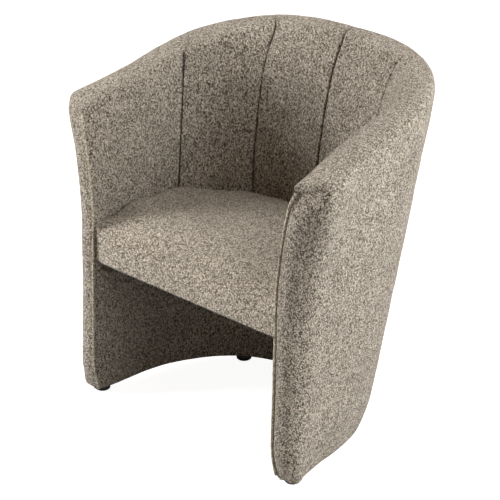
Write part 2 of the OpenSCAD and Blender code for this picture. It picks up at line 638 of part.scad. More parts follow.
// Glides: two under the arm fronts, two under the back's corners.
glide_setback = 23;
glide_inset = 19;
rear_glide_angle = 57;
front_glide = [edge(hem)[0] + glide_inset, front_y(hem) + glide_setback];
rear_glide = arc_point(rear_glide_angle, hem, core_depth + core(middle) / 2);
glide_places = [for (side = [-1, 1]) for (p = [front_glide, rear_glide])
    [side * p[0], p[1] - centre_y]];
function glide_at(k) = glide_places[k];
module glide(k) {
    r = glide_radius;
    h = glide_height - gap;
    color([0.08, 0.08, 0.08]) translate([glide_at(k)[0], glide_at(k)[1], 0]) difference() {
        rotate_extrude($fn = 48) polygon([[0, 0], [r * 0.86, 0], [r, r * 0.14], [r, h * 0.7],
            [r * 0.94, h], [0, h]]);
        translate([0, 0, -gap]) cylinder(h = h + 2 * gap, r = screw_radius + gap / 2, $fn = 24);
        translate([0, 0, -gap]) cylinder(h = h / 2 + gap, r = 2.4 * screw_radius, $fn = 24);
    }
}
module glide_front_left() { glide(0); }
module glide_rear_left() { glide(1); }
module glide_front_right() { glide(2); }
module glide_rear_right() { glide(3); }
module glide_screws() {
    h = (glide_height - gap) / 2;
    color("silver") for (p = glide_places) translate([p[0], p[1], h - screw_radius - gap / 2]) {
        cylinder(h = screw_radius, r = 2 * screw_radius, $fn = 24);
        cylinder(h = screw_radius + h + ring_height * 0.7, r = screw_radius, $fn = 24);
    }
}

base_board();
arm_post_left();
arm_post_right();
side_post_left();
side_post_right();
back_post_left();
back_post_right();
back_post_center();
seat_blocks();
top_rail();
outer_lining();
inner_lining();
shell_foam();
rim_foam();
nose_foam_left();
nose_foam_right();
outer_cover();
lower_cover();
arm_panel_left();
arm_panel_right();
back_panel_outer_left();
back_panel_inner_left();
back_panel_inner_right();
back_panel_outer_right();
welt_left();
welt_right();
seat_cleats();
seat_board();
zigzag_springs();
spring_clips();
spring_pad();
seat_foam();
seat_cover();
dust_cover();
glide_front_left();
glide_front_right();
glide_rear_left();
glide_rear_right();
glide_screws();
seat_screws();
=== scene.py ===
"""The looks of the tub chair: chenille covers, seat, welts, frame finishes, light and camera."""
import math
import bpy
import numpy as np
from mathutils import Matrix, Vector


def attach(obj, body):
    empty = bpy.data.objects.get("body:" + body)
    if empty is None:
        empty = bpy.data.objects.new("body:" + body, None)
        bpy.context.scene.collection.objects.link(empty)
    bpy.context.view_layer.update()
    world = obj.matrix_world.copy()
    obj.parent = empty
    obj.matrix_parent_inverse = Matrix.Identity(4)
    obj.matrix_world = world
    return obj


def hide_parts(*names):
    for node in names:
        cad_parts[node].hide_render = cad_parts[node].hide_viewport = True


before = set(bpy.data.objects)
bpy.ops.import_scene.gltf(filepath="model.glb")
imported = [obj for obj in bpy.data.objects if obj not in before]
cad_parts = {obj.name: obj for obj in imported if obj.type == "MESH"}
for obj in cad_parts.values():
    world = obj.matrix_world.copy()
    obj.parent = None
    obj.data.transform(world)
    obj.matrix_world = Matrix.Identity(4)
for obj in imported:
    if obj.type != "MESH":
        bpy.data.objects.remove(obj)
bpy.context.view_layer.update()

studio = bpy.context.scene

# ---------------- the shell's form, in mm
HEM, TOP, ARM = 12.0, 756.0, 646.0  # heights of the shell's lower edge, its back and its arms
SEAT_BOTTOM, SEAT_EDGE, SEAT_CROWN = 308.0, 392.0, 22.0
PANEL_BOTTOM = 326.0  # where the inside panels end, hidden by the seat
RIM_CROWN, KNUCKLE_DROP, NOSE_DEPTH = 20.0, 6.0, 22.0
CENTRE_Y = 264.003  # y runs from the front here, and from the chair's middle in the frame

# measures at the hem and at the top, fitted to the photo's outlines
FRONT_Y, ARC_Y, BACK_Y = (0, 25), (70, 210), (414, 531)
WAIST, ARC_POWER, FRONT_HALF = (290, 350.5), (2.3, 2.52), (306, 329)
FRONT_THICK, BACK_THICK = (48, 71.5), (36, 72)
TOE, TOE_TUCK, TOE_HEIGHT = 16.5, 6.0, 90.0  # the foot steps in at the front, and less all round
FLARE_START, FLARE_HEIGHT, FLARE_POWER = 396.0, 360.0, 1.65
FLARE_OUT, FLARE_THICK = 103.0, 28.0
BOW_POWER = 1.44  # of the arm's curve from the front to the waist

# the back's seams, in degrees round its arc: the outer ones spread above SPREAD_START
SEAM_OUTER, SEAM_INNER, SEAM_SPREAD = 18.0, 60.0, 3.7
SPREAD_START, SPREAD_HEIGHT = 400.0, 340.0
# a column runs from 0 to 1 on the side, and from 1 at the outer seam to 2 in the back's middle
SEAM_C = 1 + (SEAM_INNER - SEAM_OUTER) / (90 - SEAM_OUTER)

# the back's padding: how far it leans back at the rim and stands forward above the seat
PAD_BACK, PAD_FORWARD, PAD_START = 20.0, 24.0, 400.0


def mix(a, b, s):
    return a + (b - a) * s


def within(t):
    return np.clip(t, 0, 1)


def soft_step(t):
    """0 up to t = 0, rising smoothly to 1 at t = 1."""
    t = within(t)
    return t * t * (3 - 2 * t)


def rise(z):
    return (z - HEM) / (TOP - HEM)


def toe(z):
    return TOE * within(1 - (z - HEM) / TOE_HEIGHT) ** 2


def tuck(z):
    return TOE_TUCK * toe(z) / TOE


def front_y(z):
    return mix(*FRONT_Y, rise(z)) + toe(z)


def root_y(z):
    """y at which the arm's rounded front meets its side."""
    return front_y(z) + NOSE_DEPTH


def arc_y(z):
    return mix(*ARC_Y, rise(z))


def back_y(z):
    return mix(*BACK_Y, rise(z)) - tuck(z)


def waist(z):
    return mix(*WAIST, rise(z)) - tuck(z)


def flare(z):
    return np.clip((z - FLARE_START) / FLARE_HEIGHT, 0, None) ** FLARE_POWER


def front_half(z):
    return mix(*FRONT_HALF, rise(z)) + FLARE_OUT * flare(z) - tuck(z)


def wall_front(z):
    return mix(*FRONT_THICK, rise(z)) + FLARE_THICK * flare(z) - tuck(z)


def wall_back(z):
    return mix(*BACK_THICK, rise(z)) - tuck(z)


def arc_point(a, z, inset):
    """(x, y) on the back's arc at an angle in degrees, from 0 at the side to 90 in the middle."""
    m = mix(*ARC_POWER, rise(z))
    a = np.radians(a)
    return ((waist(z) - inset) * np.cos(a) ** (2 / m),
            arc_y(z) + (back_y(z) - arc_y(z) - inset) * np.sin(a) ** (2 / m))


def side_x(y, z, outside):
    """x of the wall's face at y, in front of the rounded back and in it."""
    inset = 0 if outside else wall_back(z)
    y0 = root_y(z) if outside else front_y(z)
    m = mix(*ARC_POWER, rise(z))
    front = front_half(z) - (0 if outside else wall_front(z))
    bow = np.clip(1 - (y - y0) / (arc_y(z) - y0), 0, None) ** BOW_POWER
    t = within((y - arc_y(z)) / (back_y(z) - arc_y(z) - inset))
    return np.where(y < arc_y(z), mix(waist(z) - inset, front, bow),
                    (waist(z) - inset) * (1 - t ** m) ** (1 / m))


def seam_angle(z):
    """Place of the outer seams round the back's arc, in degrees: further apart towards the top."""
    return SEAM_OUTER - SEAM_SPREAD * within((z - SPREAD_START) / SPREAD_HEIGHT)


def wall(c, z, outside):
    """(x, y) on the right half of the wall at column c, from -1 at the arm front's inner edge
    over 0 at its root and 1 at the first seam to 2 in the middle of the back."""
    c, z = np.broadcast_arrays(np.asarray(c, float), np.asarray(z, float))
    inset = 0 if outside else wall_back(z)
    seam = arc_point(seam_angle(z), z, inset)[1]
    y = mix(root_y(z), seam, within(c))
    if not outside:
        y = np.where(c < 0, mix(front_y(z), root_y(z), 1 - np.cos(np.radians(90 * (1 + c)))), y)
    x = side_x(y, z, outside)
    ax, ay = arc_point(mix(seam_angle(z), 90, within(c - 1)), z, inset)
    return np.where(c > 1, ax, x), np.where(c > 1, ay, y)


def inner_face(c, z):
    """The wall's inside with the back's padding, fuller above the seat and rolled back at the rim."""
    x, y = wall(c, z, False)
    rim = mix(700, 736, within(c - 1))
    s = np.clip((z - PAD_START) / (rim - PAD_START), 0, 1.05)
    share = soft_step((np.asarray(c, float) - 1) / 0.5)
    low = soft_step((z - 230) / 150)
    return x, y + share * (PAD_BACK * s ** 6 - PAD_FORWARD * (1 - s ** 2) * low)


def rim_y(c):
    """y of the rim's middle line at a column."""
    return (wall(c, TOP, False)[1] + wall(c, TOP, True)[1]) / 2


RIM_FRONT, RIM_BACK = root_y(TOP), rim_y(2.0)


def shoulder(c):
    """Height of the rim's edges at a column."""
    y = rim_y(np.clip(np.asarray(c, float), 0, 2))
    s = within((y - RIM_FRONT) / (RIM_BACK - RIM_FRONT))
    return mix(ARM, TOP, 1 - (1 - s) ** 0.97) - RIM_CROWN


NOSE_TOP = float(shoulder(0.0)) - KNUCKLE_DROP


# ---------------- mesh helpers
def lumps(points, size, seed):
    """Smooth seeded noise from -1 to 1 at points in mm, with lumps of that size."""
    table = np.random.default_rng(seed).uniform(-1, 1, (32, 32, 32))
    q = points / size + 1000.37
    cell = np.floor(q).astype(int)
    f = q - cell
    f = f * f * (3 - 2 * f)
    total = 0
    for corner in np.ndindex(2, 2, 2):
        share = np.prod(np.where(corner, f, 1 - f), axis=-1)
        at = (cell + corner) % 32
        total = total + share * table[at[..., 0], at[..., 1], at[..., 2]]
    return total


def lengths(p, axis=0):
    """Distance along a line of points or along one axis of a grid of them, from the start."""
    step = np.linalg.norm(np.diff(p, axis=axis), axis=-1)
    pad = [(0, 0)] * step.ndim
    pad[axis] = (1, 0)
    return np.pad(np.cumsum(step, axis=axis), pad)


def unit(v):
    return v / np.maximum(np.linalg.norm(v, axis=-1, keepdims=True), 1e-9)


def placed(name, data):
    obj = bpy.data.objects.new(name, data)
    bpy.context.collection.objects.link(obj)
    return obj


def piece(name, verts, faces, flip=False, edges=()):
    """A mesh object from points in mm and faces, or edges alone."""
    mesh = bpy.data.meshes.new(name)
    mesh.from_pydata((np.asarray(verts, float).reshape(-1, 3) / 1000).tolist(), list(edges),
                     [f[::-1] for f in faces] if flip else faces)
    mesh.update()
    mesh.shade_smooth()
    return placed(name, mesh)


def grid_faces(m, n):
    return [(i * n + j, (i + 1) * n + j, (i + 1) * n + j + 1, i * n + j + 1)
            for i in range(m - 1) for j in range(n - 1)]


def grid(name, p, flip=False):
    return piece(name, p, grid_faces(p.shape[0], p.shape[1]), flip)


def final_mesh(obj):
    """Gives an object the mesh that its modifiers make, and takes the modifiers off."""
    mesh = bpy.data.meshes.new_from_object(obj.evaluated_get(bpy.context.evaluated_depsgraph_get()))
    obj.modifiers.clear()
    obj.data = mesh


def along_wall(c0, c1, z):
    """Fine columns from c0 to c1 and the distance of each along the wall's inside."""
    c = np.linspace(c0, c1, 1500)
    return c, lengths(np.stack(wall(c, z, False), -1))


def upsample(d, m, n):
    """A coarse grid of vectors read smoothly at m by n places."""
    def along(a, k):
        t = np.linspace(0, a.shape[0] - 1, k)
        i = np.clip(np.floor(t).astype(int), 0, a.shape[0] - 2)
        f = (t - i).reshape(-1, *[1] * (a.ndim - 1))
        p0, p1 = a[np.clip(i - 1, 0, None)], a[i]
        p2, p3 = a[i + 1], a[np.clip(i + 2, None, a.shape[0] - 1)]
        return p1 + 0.5 * f * (p2 - p0 + f * (2 * p0 - 5 * p1 + 4 * p2 - p3
                                              + f * (3 * (p1 - p2) + p3 - p0)))
    return np.swapaxes(along(np.swapaxes(along(d, m), 0, 1), n), 0, 1)


def mark_sewn(obj, near):
    """Stores how near each point is to a seam, where the cloth's material paints shade."""
    sewn = obj.data.attributes.new("sewn", "FLOAT", "POINT")
    sewn.data.foreach_set("value", near.astype(np.float32))


def finish(obj, material, slot, *nodes, fill=None):
    """Gives a piece its material and its body, and hides the CAD nodes that it stands for; the slot is not
    used.
    """
    obj.data.materials.clear()
    obj.data.materials.append(material)
    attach(obj, "root")
    if nodes:
        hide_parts(*nodes)


# ---------------- materials
class Builder:
    """Adds nodes to a node tree and feeds their sockets."""

    prefix = ""

    def feed(self, socket, value):
        """Links another node's output to a socket, or sets the socket's own value."""
        if isinstance(value, bpy.types.NodeSocket):
            self.tree.links.new(value, socket)
        else:
            socket.default_value = value

    def node(self, kind, inputs=(), **settings):
        n = self.tree.nodes.new(self.prefix + kind)
        for key, value in settings.items():
            setattr(n, key, value)
        for key, value in dict(inputs).items():
            self.feed(n.inputs[key], value)
        return n


class Nodes(Builder):
    """The node tree of one material."""

    prefix = "ShaderNode"

    def __init__(self, name):
        self.material = bpy.data.materials.new(name)
        self.material.use_nodes = True
        self.tree = self.material.node_tree
        self.tree.nodes.clear()
        self.shader = self.node("BsdfPrincipled")
        self.node("OutputMaterial", {"Surface": self.shader.outputs[0]})

    def maths(self, operation, a, b):
        return self.node("Math", {0: a, 1: b}, operation=operation).outputs[0]

    def weighted(self, a, share_a, b, share_b):
        """Two values, each times its share, added up."""
        return self.maths("ADD", self.maths("MULTIPLY", a, share_a), self.maths("MULTIPLY", b, share_b))

    def ramp(self, value, stops):
        n = self.node("ValToRGB", {"Fac": value})
        elements = n.color_ramp.elements
        while len(elements) < len(stops):
            elements.new(0.5)
        for e, (at, colour) in zip(elements, stops):
            e.position, e.color = at, (*colour, 1)
        return n.outputs["Color"]

    def blend(self, share, a, b, kind="MIX"):
        n = self.node("Mix", data_type="RGBA", blend_type=kind)
        for key, value in ((0, share), (6, a), (7, b)):
            self.feed(n.inputs[key], (*value, 1) if isinstance(value, tuple) else value)
        return n.outputs[2]

    def noise(self, where, scale, detail, roughness=0.5):
        return self.node("TexNoise", {"Vector": where, "Scale": scale, "Detail": detail,
                                      "Roughness": roughness}).outputs

    def fall(self, value, near, far):
        """1 up to near, falling smoothly to 0 at far."""
        return self.node("MapRange", {0: value, 1: near, 2: far, 3: 1.0, 4: 0.0},
                         interpolation_type="SMOOTHSTEP").outputs[0]

    def places(self, scale=(1, 1, 1)):
        """The object's own coordinates in metres, scaled."""
        where = self.node("TexCoord").outputs["Object"]
        return self.node("Mapping", {"Vector": where, "Scale": scale}).outputs[0]

    def bump(self, height, strength, distance):
        return self.node("Bump", {"Height": height, "Strength": strength, "Distance": distance}).outputs[0]

    def done(self, colour, roughness, normal=None, **values):
        """Fills in the shader; values holds its other inputs, with _ for each space."""
        inputs = self.shader.inputs
        self.feed(inputs["Base Color"], colour)
        self.feed(inputs["Roughness"], roughness)
        if normal is not None:
            self.feed(inputs["Normal"], normal)
        for key, value in values.items():
            inputs[key.replace("_", " ").title().replace("Ior", "IOR")].default_value = value
        return self.material


def times(colour, factor):
    """A colour times a factor, no channel over 1."""
    return tuple(min(1.0, v * factor) for v in colour)


def grain_scale(axis, along, across):
    """Texture scale of a grain that runs along one axis."""
    return tuple(along if k == axis else across for k in range(3))


TUFTS, CURLS = 700.0, 1060.0  # yarn tufts and finer curls, to the metre
YARN_SWAY = 0.004  # how far the rows of yarn wander, in metres


def chenille(name, dark, light, seed):
    """Looped chenille: tufts of light and dark yarn, finer curls on them and dark gaps between, partly
    painted shade; darker along seams as painted shade.
    """
    n = Nodes(name)
    shift = n.node("VectorMath", {0: n.places(), 1: (seed, seed * 0.7, -seed)}, operation="ADD").outputs[0]
    sway = n.noise(shift, 150.0, 1.0)["Color"]
    off = n.node("VectorMath", {0: sway, 1: (0.5, 0.5, 0.5)}, operation="SUBTRACT")
    off = n.node("VectorMath", {0: off.outputs[0], "Scale": YARN_SWAY}, operation="SCALE")
    bent = n.node("VectorMath", {0: shift, 1: off.outputs[0]}, operation="ADD").outputs[0]
    drawn = n.node("Mapping", {"Vector": bent, "Scale": (1, 1, 0.62), "Rotation": (0.25, 0.2, 0.3)})
    tufts = n.node("TexVoronoi", {"Vector": drawn.outputs[0], "Scale": TUFTS})
    curls = n.node("TexVoronoi", {"Vector": bent, "Scale": CURLS})
    tuft = n.fall(tufts.outputs["Distance"], 0.12, 0.62)
    curl = n.fall(curls.outputs["Distance"], 0.10, 0.65)
    height = n.weighted(tuft, 0.7, curl, 0.3)
    yarn = n.node("SeparateColor", {0: tufts.outputs["Color"]}).outputs[0]
    between = tuple(mix(a, b, 0.5) for a, b in zip(dark, light))
    # the tufts' random tone is the yarn's own mix; the dark end at the gaps between tufts is partly painted
    # shade
    colour = n.ramp(n.weighted(height, 0.38, yarn, 0.62), [(0.27, dark), (0.47, between), (0.70, light)])
    broad = n.noise(shift, 16.0, 3.0)["Fac"]
    shade = n.ramp(broad, [(0.3, (0.92, 0.915, 0.905)), (0.7, (1.07, 1.065, 1.06))])
    colour = n.blend(1.0, colour, shade, "MULTIPLY")
    # painted shade: the cloth darkens in the seams and along the seat's edge against the wall, where shade
    # falls
    sewn = n.node("Attribute", attribute_name="sewn").outputs["Fac"]
    colour = n.blend(n.maths("MULTIPLY", sewn, 0.6), colour, times(dark, 0.6))
    return n.done(colour, 0.92, n.bump(height, 1.0, 0.0026), sheen_weight=0.25, sheen_roughness=0.4,
                  specular_ior_level=0.1, sheen_tint=(0.95, 0.9, 0.82, 1))


def sawn_wood(name, dark, light, axis):
    """Bare sawn timber with its grain along one axis."""
    n = Nodes(name)
    where = n.places(grain_scale(axis, 4.0, 60.0))
    sway = n.noise(where, 1.0, 5.0, 0.6)["Fac"]
    rings = n.node("TexWave", {"Vector": where, "Scale": 0.8, "Distortion": 6.0, "Detail": 3.0,
                               "Detail Scale": 0.6}, wave_type="RINGS").outputs["Color"]
    colour = n.ramp(n.weighted(sway, 0.6, rings, 0.4), [(0.25, dark), (0.75, light)])
    fibre = n.noise(n.places(grain_scale(axis, 20.0, 700.0)), 1.0, 2.0)["Fac"]
    return n.done(colour, 0.7, n.bump(fibre, 0.4, 0.0006), specular_ior_level=0.3)


def pressed(name, dark, light, grain, strength, roughness, **values):
    """A fine irregular material such as felt, hardboard, thin cloth or moulded plastic."""
    n = Nodes(name)
    where = n.places()
    fine = n.noise(where, grain, 4.0, 0.65)["Fac"]
    pores = n.node("TexVoronoi", {"Vector": where, "Scale": grain * 0.7}).outputs["Distance"]
    colour = n.ramp(n.weighted(fine, 0.7, pores, 0.4), [(0.3, dark), (0.8, light)])
    return n.done(colour, roughness, n.bump(fine, strength, 0.0008), **values)


def drawn_steel(name, colour, roughness, axis):
    """Drawn or rolled steel with fine lines and a little dulling."""
    n = Nodes(name)
    lines = n.noise(n.places(grain_scale(axis, 60.0, 2200.0)), 1.0, 3.0)["Fac"]
    dull = n.noise(n.places(), 140.0, 4.0)["Fac"]
    tone = n.ramp(dull, [(0.35, times(colour, 0.72)), (0.65, colour)])
    rough = n.maths("ADD", n.maths("MULTIPLY", dull, 0.25), roughness - 0.12)
    return n.done(tone, rough, n.bump(lines, 0.15, 0.0002), metallic=1.0)


# the dark end is partly dark yarn and partly painted shade in the gaps between tufts
DARK_YARN_AND_GAP_SHADE, LIGHT_YARN = (0.050, 0.036, 0.020), (0.83, 0.765, 0.65)
shell_cloth = chenille("shell chenille", DARK_YARN_AND_GAP_SHADE, LIGHT_YARN, 0.0)
seat_cloth = chenille("seat chenille", times(DARK_YARN_AND_GAP_SHADE, 1.25), times(LIGHT_YARN, 1.16), 3.1)
# the welt's cloth is the shell's made lighter: a painted highlight for the light that the cord catches
welt_cloth_painted_highlight = chenille("welt chenille", times(DARK_YARN_AND_GAP_SHADE, 5), times(LIGHT_YARN, 1.3), 5.7)
# the cleats' beech is darkened as painted shade, so they sink into the shade under the seat
shade_darkened = sawn_wood("stained beech", (0.07, 0.05, 0.034), (0.12, 0.09, 0.062), 0)
pine = sawn_wood("sawn pine", (0.50, 0.33, 0.17), (0.74, 0.56, 0.34), 2)
plywood = sawn_wood("plywood", (0.52, 0.37, 0.21), (0.70, 0.54, 0.35), 0)
hardboard = pressed("hardboard", (0.22, 0.13, 0.07), (0.40, 0.26, 0.15), 900.0, 0.5, 0.75)
felt = pressed("pressed felt", (0.20, 0.20, 0.21), (0.46, 0.46, 0.48), 800.0, 0.8, 0.95, sheen_weight=0.3)
dust_cloth = pressed("dust cloth", (0.012, 0.012, 0.013), (0.05, 0.05, 0.052), 1400.0, 0.6, 0.9,
                     sheen_weight=0.2)
glide_black = pressed("glide plastic", (0.010, 0.010, 0.011), (0.026, 0.026, 0.027), 1500.0, 0.25, 0.42)
spring_steel = drawn_steel("spring steel", (0.36, 0.36, 0.38), 0.42, 1)
zinc = drawn_steel("zinc plate", (0.70, 0.69, 0.65), 0.34, 2)

# ---------------- soft behaviour
SETTLE_FRAMES, STRETCH = 20, 0.02


def settle(p, faces, pinned, pressure, cap):
    """Cloth simulation of a coarse mesh under pressure, as movements of its points in mm, all
    under cap. The pinned points stay."""
    obj = piece("trial", p, faces)
    group = obj.vertex_groups.new(name="held")
    group.add([int(k) for k in np.flatnonzero(pinned)], 1.0, "REPLACE")
    cloth = obj.modifiers.new("cloth", "CLOTH")
    s = cloth.settings
    s.quality = 6
    s.mass = 0.25
    s.tension_stiffness = s.compression_stiffness = 18
    s.shear_stiffness = 6
    s.bending_stiffness = 0.6
    s.shrink_min = -STRETCH
    s.use_pressure = True
    s.uniform_pressure_force = pressure
    s.vertex_group_mass = "held"
    s.effector_weights.gravity = 0
    cloth.collision_settings.use_collision = False
    cloth.collision_settings.use_self_collision = False
    for k in range(1, SETTLE_FRAMES + 1):
        studio.frame_set(k)
    shape = obj.evaluated_get(bpy.context.evaluated_depsgraph_get()).to_mesh()
    flat = np.empty(len(shape.vertices) * 3)
    shape.vertices.foreach_get("co", flat)
    moved = flat.reshape(-1, 3) * 1000 - np.asarray(p, float).reshape(-1, 3)
    mesh = obj.data
    bpy.data.objects.remove(obj)
    bpy.data.meshes.remove(mesh)
    studio.frame_set(1)
    size = np.linalg.norm(moved, axis=1, keepdims=True)
    return moved * (cap * np.tanh(size / cap) / np.maximum(size, 1e-9))


# ---------------- the upholstered shell
TIP_DEPTH, HEM_ROLL = 34.0, 4.5
SEAM_DEPTH, SEAM_REACH, RIDGE_AT = 5.5, 5.0, 5.5
HEM_ROWS, UP_ROWS, RIM_ROWS = 64, 100, 38
LEVEL_Z = 520.0  # the height at which the shell's columns are spaced
TIP_DROP = 14.0  # how much lower the arm's front turns into its top on the outside than at the welt
CHORD_IN = 0.22  # how far the foot's side comes in for each mm to the back


def spread(c0, c1, sewn0, sewn1, step):
    """Columns from c0 to c1, closer together towards the ends that are stitched."""
    c, s = along_wall(c0, c1, LEVEL_Z)
    places = [0.0]
    while places[-1] < s[-1]:
        near = min(places[-1] if sewn0 else 99.0, s[-1] - places[-1] if sewn1 else 99.0)
        places.append(places[-1] + mix(1.0, step, min(1.0, (max(near, 0.0) / 10) ** 1.3)))
    return np.interp(np.array(places) * s[-1] / places[-1], s, c)


def foot_pull(x, y, z):
    """How far the cloth at the foot stands outside the wall's curve, none of it higher up."""
    foot = within(1 - (z - HEM) / 150) ** 1.5
    return foot * np.clip(front_half(z) + 4 - CHORD_IN * (y - NOSE_DEPTH) - x, 0, None)


def outer_wall(c, z):
    """(x, y) of the cloth on the outside, which keeps its corner at the foot."""
    start = mix(*FRONT_Y, rise(z)) + TIP_DEPTH + 13 * within((z - 110) / 160)
    end = arc_point(seam_angle(z), z, 0)[1]
    y = mix(start, end, within(c))
    x = np.where(y < root_y(z), front_half(z), side_x(np.maximum(y, root_y(z)), z, True))
    x = x + 5 * within(1 - (y - start) / 90) ** 2
    x = x + foot_pull(x, y, z) * (y < arc_point(40, z, 0)[1])
    ax, ay = arc_point(mix(seam_angle(z), 90, within(c - 1)), z, 0)
    ax = ax + foot_pull(ax, ay, z) * (ay < 190)
    return np.where(c > 1, ax, x), np.where(c > 1, ay, y)


def arm_front(a, z):
    """(x, y) of the cloth round the arm's front, a from 0 at the welt to a right angle on the outside."""
    ex, ey = front_half(z) - wall_front(z), front_y(z)
    rx, ry = outer_wall(np.zeros_like(z), z)
    lx, ly = outer_wall(np.full_like(z, 0.05), z)
    kx = rx + (rx - lx) / (ly - ry) * (ry - ey)
    ky = mix(*FRONT_Y, rise(z)) + 0.25 * toe(z)
    power = 2 / mix(2.0, 2.5, within(1 - (z - HEM) / 110))
    s, t = 1 - np.sin(a) ** power, 1 - np.cos(a) ** power
    return kx + (ex - kx) * s + (rx - kx) * t, ky + (ey - ky) * s + (ry - ky) * t


def tip_fold(g):
    """Height at which the arm's front turns into its top, at a share g across the front."""
    return NOSE_TOP - TIP_DROP * g ** 2


def tip_top(c, b):
    """The top of the shell: the rim over the wall, and for c under 0 the arm's rounded tip."""
    c, b = np.broadcast_arrays(np.asarray(c, float), np.asarray(b, float))
    g = (1 - np.cos(b)) / 2
    lift = RIM_CROWN * within(np.sin(b)) ** 0.8
    z = shoulder(c)
    ix, iy = inner_face(np.clip(c, 0, 2), z)
    ox, oy = outer_wall(np.clip(c, 0, 2), z)
    x, y, top = mix(ix, ox, g), mix(iy, oy, g), z + lift
    a = np.radians(90 * within(1 + c))
    low = tip_fold(g)
    fx, fy = arm_front(np.arcsin(within(g)), low)
    s, t = 1 - np.cos(a), np.sin(a)
    return np.stack([np.where(c < 0, mix(fx, x, s), x), np.where(c < 0, mix(fy, y, s), y),
                     np.where(c < 0, mix(low, top, t), top)], -1)


def heights(top):
    """Heights of the rows from the hem past the panels' lower edge to the top, for each column."""
    low = np.linspace(HEM + HEM_ROLL, PANEL_BOTTOM, HEM_ROWS)
    up = np.linspace(0, 1, UP_ROWS)[1:]
    top = np.asarray(top, float)[:, None]
    return np.concatenate([np.broadcast_to(low, (len(top), HEM_ROWS)), mix(PANEL_BOTTOM, top, up)], 1)


def roundover(d, radius):
    """Fall of a rounded edge at a distance d from it: 1 at the edge, 0 from the radius on."""
    q = within(1 - d / radius)
    return 1 - np.sqrt(within(1 - q ** 2))


def settle_panel(c0, c1):
    """Simulated swelling of one inside panel, held at its edges, as a coarse grid of movements."""
    c = np.linspace(c0, c1, 34 if c0 < 0 else 24)
    z = mix(PANEL_BOTTOM, tip_top(c, np.zeros(len(c)))[:, 2:], np.linspace(0, 1, 44)[None, :])
    x, y = inner_face(c[:, None], z)
    p = np.concatenate([np.stack([x, y, z], -1),
                        tip_top(c[:, None], np.linspace(0, math.pi * 0.8, 10)[None, 1:])], 1)
    m, n = p.shape[:2]
    held = np.zeros((m, n), bool)
    held[[0, -1]] = held[:, [0, -1]] = True
    moved = settle(p, [f[::-1] for f in grid_faces(m, n)], held.ravel(), 4.0, 5.0)
    return moved.reshape(m, n, 3)


ROUNDING_STEPS = 24
CREASE_IN, CREASE_WIDE = 278.0, 84.0  # x of the crease's inner end, and its width
CREASE_Z, CREASE_SLANT = 611.0, 22.0  # its height at that end, and how much it climbs


